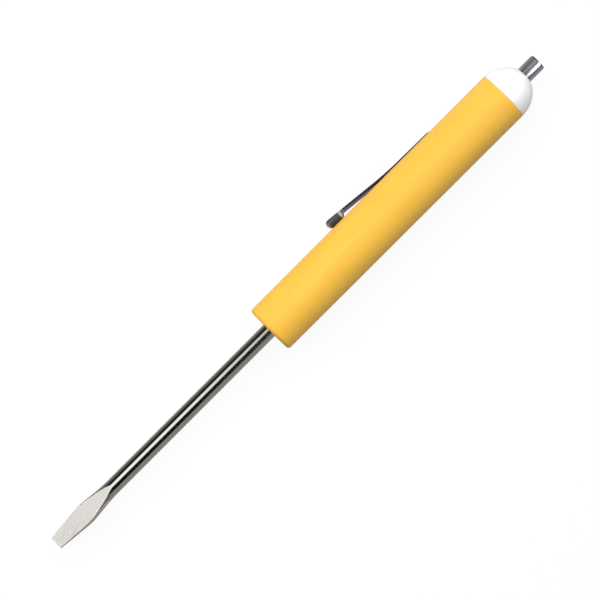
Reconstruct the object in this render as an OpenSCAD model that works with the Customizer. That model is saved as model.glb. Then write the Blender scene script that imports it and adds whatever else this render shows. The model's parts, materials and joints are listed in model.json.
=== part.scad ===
// Pocket screwdriver: a slotted blade moulded into a slim barrel, with a spring pocket clip hooked
// through the barrel wall and a domed cap that carries a small pick-up magnet in a plated cup.
// The tool lies on a table along X with its cap towards +X, resting on the barrel and the clip's ball.
// Every piece is drawn in the tool's own frame and then laid down: z runs up the barrel from its blade
// end to the cap, the blade reaches down to negative z, and the clip is on the +x side.

/* [Barrel] */
// Length from the blade end to the cap seam
barrel_len = 74; // [68:1:84]
// Outside diameter at the blade end
barrel_nose_d = 12.1; // [11.4:0.1:12.9]
// Outside diameter at the cap seam, a little more for the moulding draft
barrel_seam_d = 12.3; // [12:0.1:13]
// Rounding of the blade end's corner
nose_round_r = 0.8; // [0.3:0.1:1.2]
// Bore that lightens the barrel and takes the cap's spigot
bore_d = 8.2; // [7.8:0.1:8.6]
// Solid plastic between the blade's root and the bore
nose_web = 3; // [2:0.5:10]
// Lead-in chamfer at the bore's open end
bore_lead = 0.4; // [0.2:0.1:0.6]

/* [Blade] */
// Shaft diameter
shaft_d = 3.6; // [3:0.1:4]
// Blade showing outside the barrel
blade_out = 67.4; // [55:1:80]
// Shaft length held inside the nose
root_len = 24; // [20:1:25]
// Width of the tip's end
tip_w = 3.1; // [2.6:0.1:3.4]
// Thickness of the tip's end
tip_t = 0.8; // [0.6:0.05:1]
// Width at the widest point of the forged flare
flare_w = 4.6; // [4.3:0.1:5]
// Distance from the tip to the widest point
flare_wide_at = 9; // [7.5:0.5:10]
// Distance from the tip to where the flare leaves the round shaft
flare_len = 16; // [14:0.5:17]
// Distance from the tip to where the ground flats run out on the shaft
flat_len = 17.8; // [17.2:0.1:20]
// How deep the ground flats are hollowed below a straight line from the tip to the run-out
flat_hollow = 0.13; // [0.05:0.01:0.3]
// Width across the two wings pressed into the shaft's root
wing_w = 5.4; // [4.8:0.1:6]
// Thickness of the wings
wing_t = 1.1; // [0.8:0.1:1.4]
// Length of the wings
wing_len = 5; // [4:0.5:7]
// Distance of the wings from the root's end
wing_inset = 3; // [2:0.5:5]

/* [Clip] */
// Width of the spring steel strip
clip_w = 2.8; // [2.4:0.1:3.2]
// Thickness of the strip
clip_t = 0.33; // [0.25:0.01:0.4]
// Length of the clip from its root to its free end
clip_len = 31; // [28:0.5:36]
// Length of strip that lies along the barrel before it bends away
clip_seat_len = 13.3; // [11:0.1:16]
// Height of the strip's outer face over the barrel at its root
clip_root_rise = 0.08; // [0.05:0.01:0.12]
// Height of the strip's outer face over the barrel at the bend
clip_lift_rise = 0.28; // [0.26:0.01:0.34]
// Height of the strip's outer face over the barrel at the ball
clip_ball_rise = 2.06; // [1.9:0.02:2.2]
// Radius of the pressed ball end
ball_r = 1.4; // [1.25:0.05:1.5]
// Length of the ball end
ball_len = 4.8; // [4.2:0.1:5.6]
// Length of the foot inside the bore
foot_len = 4.6; // [3.5:0.1:5]
// Room in the bore between the foot's end and the cap's spigot
foot_room = 1.8; // [1:0.2:4]
// Centre line radius of the two tight bends
hook_bend_r = 0.5; // [0.4:0.05:0.6]
// Centre line radius of the long bend where the strip lifts away
lift_bend_r = 75; // [40:5:90]

/* [Cap] */
// Height of the dome over the seam
dome_h = 7; // [6:0.2:8]
// Length of the spigot inside the bore
spigot_len = 11; // [9:0.5:11.5]
// Wall of the spigot's skirt
spigot_wall = 1.4; // [1.1:0.1:1.8]
// Web between the magnet cup's seat and the hollow of the spigot
seat_web = 2; // [1.5:0.1:3]
// Width of a crush rib on the spigot
crush_rib_d = 0.9; // [0.6:0.1:1.2]
// Number of crush ribs
crush_rib_count = 6; // [4:1:8]

/* [Magnet] */
// Outside diameter of the plated steel cup
cup_d = 4; // [3.6:0.1:4.4]
// Top of the cup above the cap seam
cup_top = 11; // [10:0.2:12]
// Wall of the cup
cup_wall = 0.4; // [0.3:0.05:0.5]
// Floor of the cup
cup_floor = 0.6; // [0.4:0.1:1]
// Length of the magnet in the cup
magnet_len = 8.8; // [7.8:0.2:9.4]
// Depth of the magnet's face below the rim
magnet_inset = 0.15; // [0.1:0.05:0.4]

/* [Fits] */
// Gap between the barrel and the strip where the clip is at rest
clip_gap = 0.1; // [0.08:0.01:0.14]
// Gap each side of the strip in its channel
clip_side_gap = 0.12; // [0.1:0.01:0.2]
// Room below the strip in the window, which the clip turns into when it flexes
flex_room = 0.35; // [0.32:0.01:0.45]
// Gap between the spigot and the bore
spigot_gap = 0.12; // [0.08:0.01:0.2]
// Gap that glue fills round the magnet cup and the magnet
glue_gap = 0.03; // [0.02:0.01:0.06]

/* [Hidden] */
$fn = 96;
// How far a cut runs past the face that it opens
overrun = 1;
// How far pieces of one solid reach into each other
lap = 0.5;
// Steps in a tight bend, in the long bend, in a rounded outline and in the dome
bend_steps = 8;
long_bend_steps = 6;
outline_steps = 8;
dome_steps = 24;

nose_r = barrel_nose_d / 2;
seam_r = barrel_seam_d / 2;
bore_r = bore_d / 2;
shaft_r = shaft_d / 2;
nose_len = root_len + nose_web;
tip_z = -blade_out;
// Outside radius of the barrel at a height on it
function barrel_r(z) = nose_r + (seam_r - nose_r) * z / barrel_len;

// Length each side of the blade's widest point over which its outline in plan is rounded
flare_round = 1.6;
// The flare's plan line starts this much wider than the shaft, so it never grazes the round bar
flare_lead = 0.03;

// The ground flat is one arc from the tip to the run-out on the shaft, as [height, half thickness]
flat_chord = [flat_len, shaft_r - tip_t / 2];
wheel_r = pow(norm(flat_chord), 2) / (8 * flat_hollow) + flat_hollow / 2;
wheel_centre = [0, tip_t / 2] + flat_chord / 2
  + (wheel_r - flat_hollow) * [-flat_chord.y, flat_chord.x] / norm(flat_chord);
// Half of the blade's thickness at a height over the tip
function blade_half_t(s) = wheel_centre.y - sqrt(pow(wheel_r, 2) - pow(s - wheel_centre.x, 2));
// Radius of the forged round that the flare's sides are cut from, at the widest point
flare_corner_r = norm([flare_w / 2, blade_half_t(flare_wide_at)]) + flare_lead;

// Heights on the barrel where the strip passes through the wall, where it bends away and where it ends
clip_root_z = barrel_len - spigot_len - foot_room - foot_len;
clip_lift_z = clip_root_z - clip_seat_len;
clip_end_z = clip_root_z - clip_len;
ball_low_z = clip_end_z + ball_r;
ball_high_z = clip_end_z + ball_len - ball_r;
ball_x = barrel_r(ball_high_z) + clip_gap + ball_r;

root_x = barrel_r(clip_root_z) + clip_root_rise - clip_t / 2;
lift_x = barrel_r(clip_lift_z) + clip_lift_rise - clip_t / 2;
end_x = barrel_r(ball_low_z) + clip_ball_rise - clip_t / 2;
// Rise of the lifted strip for each unit of height lost
lift_slope = (end_x - lift_x) / (clip_lift_z - ball_low_z);
foot_x = sqrt(pow(bore_r, 2) - pow(clip_w / 2, 2)) - clip_gap - clip_t / 2;
foot_top_z = clip_root_z + foot_len;

// Height of the tool's axis over the table, and the turn about it that sets the ball on the table
rest_r = seam_r;
ball_out_x = end_x + clip_t / 2 * norm([1, lift_slope]);
ball_half_w = sqrt(pow(ball_r, 2) - pow(ball_out_x - ball_x, 2));
ball_reach = sqrt(pow(ball_out_x, 2) + pow(ball_half_w, 2));
clip_roll = atan2(ball_half_w, ball_out_x) + acos(rest_r / ball_reach);
// The origin lies under the middle of the whole tool, along its length and across it
middle_z = (barrel_len + cup_top + tip_z) / 2;
ball_out_y = ball_out_x * sin(clip_roll) + ball_half_w * cos(clip_roll);
middle_y = (ball_out_y - seam_r) / 2;

cup_len = cup_floor + glue_gap + magnet_len + magnet_inset;
cup_base_z = barrel_len + cup_top - cup_len;
magnet_top_z = barrel_len + cup_top - magnet_inset;

// Lays the upright tool on the table, cap towards +X and clip turned down to the back
module lay_down() {
  translate([-middle_z, -middle_y, rest_r])
    rotate([0, 90, 0])
      rotate([0, 0, clip_roll])
        children();
}

// Points of an arc with a centre and radius, between two angles
function arc(centre, r, from, to, steps) =
  [for (i = [0:steps]) let (a = from + (to - from) * i / steps) centre + r * [cos(a), sin(a)]];

function unit(v) = v / norm(v);

// One corner of a path rounded to a radius, as points from one tangent to the other
function rounded_corner(before, corner, after, r, steps) =
  let (
    a = unit(before - corner),
    b = unit(after - corner),
    half = acos(a * b) / 2,
    start = corner + a * r / tan(half),
    finish = corner + b * r / tan(half),
    centre = corner + unit(a + b) * r / sin(half)
  )
    [
      for (i = [0:steps])
        let (chord = start + (finish - start) * i / steps)
          i == 0 ? start : i == steps ? finish : centre + unit(chord - centre) * r
    ];

// Direction of a path at one of its points
function heading(path, i) =
  unit(path[min(i + 1, len(path) - 1)] - path[max(i - 1, 0)]);

// A path moved sideways by a distance
function beside(path, distance) =
  [
    for (i = [0:len(path) - 1])
      let (h = heading(path, i)) path[i] + distance * [-h.y, h.x]
  ];

function backwards(list) = [for (i = [len(list) - 1:-1:0]) list[i]];

// A half outline given as [half width, height], closed with its mirror image
function both_sides(half) = concat(half, [for (p = backwards(half)) [-p.x, p.y]]);

// Turns an outline drawn as [radius, height] into a slab of a width across the clip's plane
module slab(width) {
  rotate([90, 0, 0])
    translate([0, 0, -width / 2])
      linear_extrude(height = width)
        children();
}

// Centre line of the clip from the foot's end, through the wall and down to the ball
clip_path = concat(
  [[foot_x, foot_top_z]],
  rounded_corner([foot_x, foot_top_z], [foot_x, clip_root_z], [root_x, clip_root_z], hook_bend_r, bend_steps),
  rounded_corner(
    [foot_x, clip_root_z], [root_x, clip_root_z], [lift_x, clip_lift_z], hook_bend_r, bend_steps
  ),
  rounded_corner(
    [root_x, clip_root_z], [lift_x, clip_lift_z], [end_x, ball_low_z], lift_bend_r, long_bend_steps
  ),
  [[end_x - lift_slope * (ball_high_z - ball_low_z), ball_high_z]]
);

// Outline of the ball end along its length: a round bar with round ends
module ball_bar(r) {
  translate([ball_x, 0, ball_low_z])
    cylinder(r = r, h = ball_high_z - ball_low_z);
  for (z = [ball_low_z, ball_high_z])
    translate([ball_x, 0, z])
      sphere(r = r);
}

// Radius that the strip's outer face reaches at a height along the ball
function outer_x(z) = ball_out_x - lift_slope * (z - ball_low_z);

// Space on the barrel's side of the strip's outer face, over the ball end
module under_outer_face() {
  low = clip_end_z - overrun;
  high = ball_high_z + ball_r;
  slab(2 * (ball_r + overrun))
    polygon([[nose_r, low], [outer_x(low), low], [outer_x(high), high], [nose_r, high]]);
}

// Spring clip: one strip from the hooked foot to the pressed ball end
module clip() {
  color([0.42, 0.40, 0.42])
    lay_down()
      difference() {
        union() {
          slab(clip_w)
            polygon(concat(beside(clip_path, clip_t / 2), backwards(beside(clip_path, -clip_t / 2))));
          intersection() {
            ball_bar(ball_r);
            under_outer_face();
          }
        }
        ball_bar(ball_r - clip_t);
      }
}

// Channel that the strip lies in, and the window that its hook passes through
module clip_opening() {
  floor_gap = clip_t / 2 + clip_gap;
  top_z = clip_root_z + clip_t / 2 + clip_gap;
  run_out = (barrel_r(clip_lift_z) + overrun - lift_x + floor_gap) / lift_slope;
  slab(clip_w + 2 * clip_side_gap)
    polygon(
      [
        [root_x - floor_gap, top_z],
        [root_x - floor_gap, clip_root_z],
        [lift_x - floor_gap, clip_lift_z],
        [lift_x - floor_gap + run_out * lift_slope, clip_lift_z - run_out],
        [seam_r + overrun, clip_lift_z - run_out],
        [seam_r + overrun, top_z]
      ]
    );
  slab(clip_w + 2 * clip_side_gap)
    polygon(
      [
        [foot_x, top_z],
        [foot_x, clip_root_z - clip_t / 2 - flex_room],
        [root_x, clip_root_z - clip_t / 2 - flex_room],
        [root_x, top_z]
      ]
    );
}

// Barrel: moulded body, solid at the nose round the blade's root and bored from the cap end
module barrel() {
  color([0.99, 0.81, 0.33])
    lay_down()
      difference() {
        rotate_extrude()
          polygon(
            concat(
              [[0, 0]],
              arc([nose_r - nose_round_r, nose_round_r], nose_round_r, -90, 0, outline_steps),
              [[seam_r, barrel_len], [0, barrel_len]]
            )
          );
        translate([0, 0, nose_len])
          cylinder(r = bore_r, h = barrel_len - nose_len + overrun);
        translate([0, 0, barrel_len - bore_lead])
          cylinder(r1 = bore_r, r2 = bore_r + bore_lead + overrun, h = bore_lead + overrun);
        clip_opening();
        translate([0, 0, -overrun])
          cylinder(r = shaft_r, h = root_len + overrun);
        wings();
      }
}

// Two wings pressed out of the shaft's root, which the plastic locks round
module wings() {
  high = root_len - wing_inset;
  low = high - wing_len;
  slope_len = wing_len / 4;
  slab(wing_t)
    polygon(
      both_sides(
        [
          [shaft_r - lap, low],
          [wing_w / 2, low + slope_len],
          [wing_w / 2, high - slope_len],
          [shaft_r - lap, high]
        ]
      )
    );
}

// Half of the flare's outline in plan, from the tip up to the shaft, as [half width, height]
function flare_side() =
  let (
    tip = [tip_w / 2, 0],
    wide = [flare_w / 2, flare_wide_at],
    neck = [shaft_r + flare_lead, flare_len],
    below = wide + unit(tip - wide) * flare_round,
    above = wide + unit(neck - wide) * flare_round
  )
    concat(
      [tip],
      [
        for (i = [0:outline_steps])
          let (t = i / outline_steps)
            pow(1 - t, 2) * below + 2 * t * (1 - t) * wide + pow(t, 2) * above
      ],
      [neck, neck + [0, 2 * lap]]
    );

// Steel left by the forging between the plan outline and the round that its corners keep
module forged_flare() {
  // The round's cone runs on a little way inside the shaft
  run_in = lap * (flare_corner_r - shaft_r) / (flare_len - flare_wide_at);
  intersection() {
    rotate_extrude()
      polygon(
        [
          [0, 0],
          [flare_corner_r, 0],
          [flare_corner_r, flare_wide_at],
          [shaft_r - run_in, flare_len + lap],
          [0, flare_len + lap]
        ]
      );
    slab(2 * flare_corner_r)
      polygon(both_sides(flare_side()));
  }
}

// Metal that the grinding wheel takes off one face of the blade, hollowed by the wheel's rim
module ground_away() {
  far = flat_len + overrun;
  steps = 2 * outline_steps;
  rotate([90, 0, 90])
    translate([0, 0, -flare_corner_r - overrun])
      linear_extrude(height = 2 * (flare_corner_r + overrun))
        polygon(
          concat(
            [[flare_corner_r + overrun, far], [flare_corner_r + overrun, -overrun]],
            [
              for (i = [0:steps])
                let (s = -overrun + (far + overrun) * i / steps) [blade_half_t(s), s]
            ]
          )
        );
}

// Blade: round bar forged wide and ground flat at the tip, with wings at its root
module blade() {
  color([0.75, 0.76, 0.76])
    lay_down()
      difference() {
        union() {
          translate([0, 0, tip_z + flare_len - lap])
            cylinder(r = shaft_r, h = blade_out + root_len - flare_len + lap);
          translate([0, 0, tip_z])
            forged_flare();
          wings();
        }
        for (side = [0, 1])
          mirror([0, side, 0])
            translate([0, 0, tip_z])
              ground_away();
      }
}

// Cap: dome over the barrel's end, with a ribbed spigot in the bore and a seat for the magnet cup
module top_cap() {
  spigot_r = bore_r - spigot_gap;
  spigot_z = barrel_len - spigot_len;
  web_z = cup_base_z - glue_gap - seat_web;
  color([0.96, 0.96, 0.95])
    lay_down()
      difference() {
        union() {
          rotate_extrude()
            polygon(
              concat(
                [[0, barrel_len - lap], [spigot_r, barrel_len - lap], [spigot_r, barrel_len]],
                [
                  for (i = [0:dome_steps])
                    let (a = 90 * i / dome_steps)
                      [seam_r * cos(a), barrel_len + dome_h * sin(a)]
                ]
              )
            );
          translate([0, 0, spigot_z])
            cylinder(r = spigot_r, h = spigot_len);
          for (i = [0:crush_rib_count - 1])
            rotate([0, 0, 360 * (i + 1 / 2) / crush_rib_count])
              translate([bore_r - glue_gap - crush_rib_d / 2, 0, spigot_z + crush_rib_d])
                cylinder(d = crush_rib_d, h = spigot_len - 2 * crush_rib_d);
        }
        translate([0, 0, spigot_z - overrun])
          cylinder(r = spigot_r - spigot_wall, h = web_z - spigot_z + overrun);
        translate([0, 0, cup_base_z - glue_gap])
          cylinder(r = cup_d / 2 + glue_gap, h = dome_h + cup_len);
      }
}

// Cup: drawn and plated steel shell with a rolled rim
module magnet_cup() {
  r = cup_d / 2;
  inner_r = r - cup_wall;
  rim_r = cup_wall / 2;
  color([0.78, 0.78, 0.80])
    lay_down()
      rotate_extrude()
        polygon(
          concat(
            [[0, cup_base_z]],
            arc([inner_r, cup_base_z + cup_wall], cup_wall, -90, 0, outline_steps),
            arc([r - rim_r, cup_base_z + cup_len - rim_r], rim_r, 0, 180, 2 * outline_steps),
            [[inner_r, cup_base_z + cup_floor], [0, cup_base_z + cup_floor]]
          )
        );
}

// Magnet: plain round slug glued in the cup
module magnet() {
  color([0.25, 0.25, 0.27])
    lay_down()
      translate([0, 0, magnet_top_z - magnet_len])
        cylinder(r = cup_d / 2 - cup_wall - glue_gap, h = magnet_len);
}

barrel();
blade();
clip();
top_cap();
magnet_cup();
magnet();
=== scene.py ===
# %% [markdown]
# # A pocket screwdriver, dressed for its portrait
# The real object is a slim slotted screwdriver of the kind that rides in a shirt pocket. A polished
# steel bar is moulded into a golden plastic barrel, a strip of spring steel hooks through the
# barrel's wall, and a white domed cap holds a plated cup with a small magnet in it.
#
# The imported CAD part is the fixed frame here. It could be shown as it is, but its round faces are
# facets, so each piece is worked out again as a fine surface with real edges.

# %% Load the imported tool
import json
import math

import bmesh
import bpy
import numpy as np
from mathutils import Matrix


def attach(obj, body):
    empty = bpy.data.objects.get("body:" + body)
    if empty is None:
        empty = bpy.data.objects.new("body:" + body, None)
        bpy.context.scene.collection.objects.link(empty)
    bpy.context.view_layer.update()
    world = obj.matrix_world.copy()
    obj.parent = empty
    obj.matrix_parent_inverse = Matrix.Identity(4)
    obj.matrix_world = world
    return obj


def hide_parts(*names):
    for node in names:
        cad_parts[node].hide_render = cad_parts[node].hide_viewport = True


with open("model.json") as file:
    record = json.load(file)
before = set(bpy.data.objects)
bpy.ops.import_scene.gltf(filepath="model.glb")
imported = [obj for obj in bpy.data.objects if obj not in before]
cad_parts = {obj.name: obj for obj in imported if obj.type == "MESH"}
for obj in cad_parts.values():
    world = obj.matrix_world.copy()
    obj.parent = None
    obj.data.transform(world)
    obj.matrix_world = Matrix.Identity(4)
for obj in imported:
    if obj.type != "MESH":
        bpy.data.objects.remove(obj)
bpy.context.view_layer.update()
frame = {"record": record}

# %% [markdown]
# ## The tool's own directions
# A turner measures from the work, not from the table, and the pieces here are easiest to describe
# the same way: z runs up the barrel from its blade end, x points from the axis to the clip, and y
# goes across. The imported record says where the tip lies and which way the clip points, so those two
# mounts place every piece.

# %% Tool places to table places
MM = 0.001
BLADE_OUT = 67.4

mounts = {m["name"]: m for m in frame["record"]["mounts"]}
tip = np.array(mounts["blade_tip"]["pos_m"])
up_barrel = -np.array(mounts["blade_tip"]["axis"], float)
to_clip = np.array(mounts["pocket_clip"]["axis"], float)
sideways = np.cross(up_barrel, to_clip)


def laid(x, y, z):
    """Where a place on the tool lies on the table: the tip, plus each distance in mm along its own
    direction."""
    x, y, z = (np.asarray(a, float)[..., None] for a in np.broadcast_arrays(x, y, z))
    return tip + MM * (x * to_clip + y * sideways + (z + BLADE_OUT) * up_barrel)


def on_tool(points):
    """The way back: how far table places are along each of the tool's directions, in mm from the
    barrel's blade end."""
    away = (points - tip) / MM
    return np.stack([away @ to_clip, away @ sideways, away @ up_barrel - BLADE_OUT], axis=-1)


print("tip at", tip.round(5), "clip towards", to_clip.round(3))

# %% [markdown]
# ## From a grid of points to a closed skin
# Every piece below is a function of two parameters, so its points come as a grid: rows along the
# piece and columns around it. Neighbouring points join as four-sided faces. Where a row shrinks to
# one point, as at the middle of a turned end face, its copies are welded, so that the skin closes
# without a seam. Ready-made cylinders with bevels would do for the round pieces, but not for the
# others, and a grid does for both.

# %% Grid skins
WELD_WITHIN = 1e-7


def cells(rows, columns):
    """Faces of a grid of points: each point joins the next in its row and in its column, and the
    last column joins the first."""
    i, j = np.meshgrid(np.arange(rows - 1), np.arange(columns), indexing="ij")
    after = (j + 1) % columns
    here, above = i * columns, (i + 1) * columns
    return np.stack([here + j, here + after, above + after, above + j], axis=-1).reshape(-1, 4)


def skin(name, points, faces):
    """A mesh object from points in metres: copies of a point are welded, and all faces are turned
    outwards."""
    mesh = bpy.data.meshes.new(name)
    mesh.from_pydata(np.asarray(points).reshape(-1, 3), [], faces)
    work = bmesh.new()
    work.from_mesh(mesh)
    bmesh.ops.remove_doubles(work, verts=work.verts, dist=WELD_WITHIN)
    bmesh.ops.recalc_face_normals(work, faces=work.faces)
    work.to_mesh(mesh)
    work.free()
    piece = bpy.data.objects.new(name, mesh)
    bpy.context.scene.collection.objects.link(piece)
    return piece


print("a grid of 3 rows and 4 columns has", len(cells(3, 4)), "faces")

# %% [markdown]
# ## Cutting a skin, and making a piece ready
# A window or a hollow is cut with a Boolean modifier. It could stay live, but the finishes need the
# final points, so it is applied at once and the cutter is thrown away. A ready piece has smooth
# faces with crisp edges, as moulded and ground things do. Each point also keeps its place on the
# tool, in mm, in an attribute. The finishes read that, so a grain has its real size.

# %% Cut and finish helpers
CRISP_DEG = 32


def cut(piece, tool, operation="DIFFERENCE"):
    """Cuts one closed skin by another, or joins the two, for good, and takes the second away."""
    step = piece.modifiers.new(operation.lower(), "BOOLEAN")
    step.operation, step.object, step.solver = operation, tool, "EXACT"
    ready = piece.evaluated_get(bpy.context.evaluated_depsgraph_get())
    made = bpy.data.meshes.new_from_object(ready)
    piece.modifiers.clear()
    piece.data = made
    bpy.data.objects.remove(tool)


def points_on_tool(mesh):
    """The tool places of all of a mesh's points, in mm."""
    spots = np.empty(len(mesh.vertices) * 3)
    mesh.vertices.foreach_get("co", spots)
    return on_tool(spots.reshape(-1, 3))


def finish_piece(piece, body, node, finish, sharp_deg=CRISP_DEG):
    """Smooth faces with crisp edges, the tool places as an attribute, the finish, and the body that
    the piece rides on."""
    mesh = piece.data
    mesh.name = piece.name
    mesh.polygons.foreach_set("use_smooth", np.ones(len(mesh.polygons), bool))
    mesh.set_sharp_from_angle(angle=math.radians(sharp_deg))
    place = mesh.attributes.new("place", "FLOAT_VECTOR", "POINT")
    place.data.foreach_set("vector", points_on_tool(mesh).astype(np.float32).ravel())
    mesh.materials.clear()
    mesh.materials.append(finish)
    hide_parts(node)
    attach(piece, body)
    print(f"{piece.name}: {len(mesh.vertices)} points, {len(mesh.polygons)} faces")


print("edges that turn by more than", CRISP_DEG, "degrees stay crisp")

# %% [markdown]
# ## Turned profiles
# The cap, the cup and the magnet are round about the tool's axis. On a lathe they would be one
# outline carried round once, and so they are here. A real edge is never a perfect corner, because
# light catches the small round on it, so each outline's corners are eased by a short curve before
# it is turned. A Bevel modifier would ease them too, but all by one width.

# %% Eased outlines and turning
TINY, SAME_SPOT, MOST_OF_A_SIDE = 1e-9, 1e-6, 0.48


def corner_curve(t, start, corner, end):
    """A quadratic curve drawn towards a corner: (1 - t) squared of the start, 2 t (1 - t) of the
    corner, and t squared of the end."""
    return (1 - t) ** 2 * start + 2 * t * (1 - t) * corner + t**2 * end


def eased(outline, steps=5):
    """Rounds an outline given as rows of [radius, height, ease]: each corner becomes a curve that
    starts and ends the ease's distance away, on the straight lines to its two neighbours."""
    outline = np.asarray(outline, float)
    spots, ease = outline[:, :2], outline[:, 2:]
    before, after = np.roll(spots, 1, axis=0), np.roll(spots, -1, axis=0)
    before[0], after[-1] = spots[0], spots[-1]

    def step_off(towards):
        run = towards - spots
        length = np.maximum(np.linalg.norm(run, axis=1, keepdims=True), TINY)
        return (spots + run / length * np.minimum(ease, MOST_OF_A_SIDE * length))[:, None]

    t = np.linspace(0, 1, steps)[None, :, None]
    curve = corner_curve(t, step_off(before), spots[:, None], step_off(after)).reshape(-1, 2)
    moved = np.linalg.norm(np.diff(curve, axis=0), axis=1) > SAME_SPOT
    return curve[np.concatenate([[True], moved])]


def turned(name, outline, columns):
    """One outline of [radius, height] carried round the axis: x = r cos a, y = r sin a, and z is
    the height."""
    angle = np.arange(columns) * 2 * np.pi / columns
    r, z = outline[:, :1], outline[:, 1:]
    return skin(name, laid(r * np.cos(angle), r * np.sin(angle), z), cells(len(outline), columns))


print("one eased corner:", eased([[0, 0, 0], [1, 0, 0.2], [1, 1, 0]]).round(2).tolist())

# %% [markdown]
# ## Starting a finish
# A finish is a small network of shader nodes. It could be wired by hand in the node editor, but in
# a script the same few moves come again and again, so three helpers make them. What is even all
# over a surface is set on the shader itself, and only what varies is linked to it.

# %% Node helpers
def add_node(tree, kind, inputs=(), **settings):
    """Adds a node, sets it up, and fills its inputs: sockets are linked, the rest are values."""
    made = tree.nodes.new(kind)
    for name, value in settings.items():
        setattr(made, name, value)
    for name, value in dict(inputs).items():
        if isinstance(value, bpy.types.NodeSocket):
            tree.links.new(value, made.inputs[name])
        else:
            made.inputs[name].default_value = value
    return made


def new_finish(name, **constants):
    """An empty finish: its shader with the constants set, and the socket with tool places in mm."""
    finish = bpy.data.materials.new(name)
    finish.use_nodes = True
    tree = finish.node_tree
    shader = tree.nodes["Principled BSDF"]
    for socket, value in constants.items():
        shader.inputs[socket].default_value = value
    place = add_node(tree, "ShaderNodeAttribute", attribute_name="place").outputs["Vector"]
    return finish, tree, shader, place


def feed(tree, shader, **patterns):
    """Links each pattern to the shader's socket of that name, for what varies over the surface."""
    for socket, pattern in patterns.items():
        tree.links.new(pattern, shader.inputs[socket.replace("_", " ")])


print("node helpers are ready")

# %% [markdown]
# ## Patterns for the finishes
# Grain, drawing lines and scratches are all one noise here, stretched along the way the tool mark
# runs. Pictures of real surfaces could be laid on instead, but they repeat and blur close up. A
# pattern worked out in mm stays sharp, and its grains have real sizes.

# %% Pattern helpers
def speckle(tree, place, stretch, scale=1.0, detail=3.0, roughness=0.55):
    """A noise whose grains are about 1 / (scale * stretch) mm long in each direction."""
    spread = add_node(tree, "ShaderNodeMapping", {"Vector": place, "Scale": stretch})
    return add_node(
        tree, "ShaderNodeTexNoise",
        {"Vector": spread.outputs[0], "Scale": scale, "Detail": detail, "Roughness": roughness},
    ).outputs["Fac"]


def between(tree, factor, low, high, start=0.3, end=0.7):
    """Numbers or colours that run from low, where the pattern is at start, to high, where it is at
    end. Nearly all of a noise lies between 0.3 and 0.7."""
    if np.isscalar(low):
        return add_node(
            tree, "ShaderNodeMapRange",
            {"Value": factor, "From Min": start, "From Max": end, "To Min": low, "To Max": high},
        ).outputs["Result"]
    ramp = add_node(tree, "ShaderNodeValToRGB", {"Fac": factor})
    first, second = ramp.color_ramp.elements
    first.position, second.position = start, end
    first.color, second.color = (*low, 1), (*high, 1)
    return ramp.outputs["Color"]


def mixed(tree, share, first, second):
    """Goes over from the first colour to the second as the share climbs from 0 to 1. A mix of
    colours has them at its inputs 6 and 7, and the result at its output 2."""
    inputs = {"Factor": share, 6: first, 7: second}
    return add_node(tree, "ShaderNodeMix", inputs, data_type="RGBA").outputs[2]


def blended(tree, share, first, second):
    """The same for two numbers, which a plain mix has at its inputs 2 and 3."""
    return add_node(tree, "ShaderNodeMix", {"Factor": share, 2: first, 3: second}).outputs[0]


def reckoned(tree, operation, first, second):
    """One step of arithmetic on two numbers."""
    return add_node(tree, "ShaderNodeMath", {0: first, 1: second}, operation=operation).outputs[0]


def relief(tree, shader, height, depth_mm, strength=1.0):
    """Raises the surface by a pattern: its height of 0 to 1 stands for a depth in mm."""
    inputs = {"Height": height, "Distance": depth_mm * MM, "Strength": strength}
    feed(tree, shader, Normal=add_node(tree, "ShaderNodeBump", inputs).outputs["Normal"])


print("pattern helpers are ready")

# %% [markdown]
# ## Golden plastic
# The barrel is moulded in a warm, slightly milky yellow. Its skin is satin: the mould was finely
# blasted, so reflections melt into a broad soft band. A flat colour would look like paint on a
# screen, so it drifts a little, as pigment does in a moulding, and a very fine grain breaks up the
# shine.

# %% Finish: golden plastic
PLASTIC_IOR = 1.49
DEEP_GOLD, PALE_GOLD = (0.905, 0.502, 0.053), (0.945, 0.533, 0.064)

golden_plastic, tree, shader, place = new_finish("golden_plastic", IOR=PLASTIC_IOR)
drift = speckle(tree, place, (1, 1, 0.25), scale=0.35, detail=4)
grain = speckle(tree, place, (1, 1, 1), scale=9.0, detail=2)
feed(
    tree, shader, Base_Color=between(tree, drift, DEEP_GOLD, PALE_GOLD),
    Roughness=between(tree, grain, 0.40, 0.50),
)
relief(tree, shader, grain, depth_mm=0.006)
print(golden_plastic.name, "has", len(tree.nodes), "nodes")

# %% [markdown]
# ## White plastic
# The cap is a separate moulding from a polished mould, so it shines far more than the barrel. White
# plastic is never pure white: a little over nine tenths of the light comes back. One even white
# would look cut out of paper, so it is clouded very slightly, and a shallow ripple bends the shine.

# %% Finish: white plastic
CLOUDED_WHITE, CLEAR_WHITE = (0.92, 0.92, 0.93), (0.95, 0.95, 0.952)

glossy_white, tree, shader, place = new_finish("glossy_white", IOR=PLASTIC_IOR)
clouds = speckle(tree, place, (1, 1, 1), scale=0.5)
ripple = speckle(tree, place, (1, 1, 1), scale=2.2, detail=2)
feed(
    tree, shader, Base_Color=between(tree, clouds, CLOUDED_WHITE, CLEAR_WHITE),
    Roughness=between(tree, ripple, 0.16, 0.24),
)
relief(tree, shader, ripple, depth_mm=0.004)
print(glossy_white.name, "has", len(tree.nodes), "nodes")

# %% [markdown]
# ## Steel: a polished bar with ground flats
# Each steel piece left its last machine with another skin. The blade's round bar is centreless
# ground and polished, with hair-fine lines round it. Its two flats are ground on a wheel and stay
# matt, with oblique scratches from use that thin out away from the tip. Two materials on separate
# faces would meet in steps, so one finish holds both skins, and the blade's points say how far each
# is ground.

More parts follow.
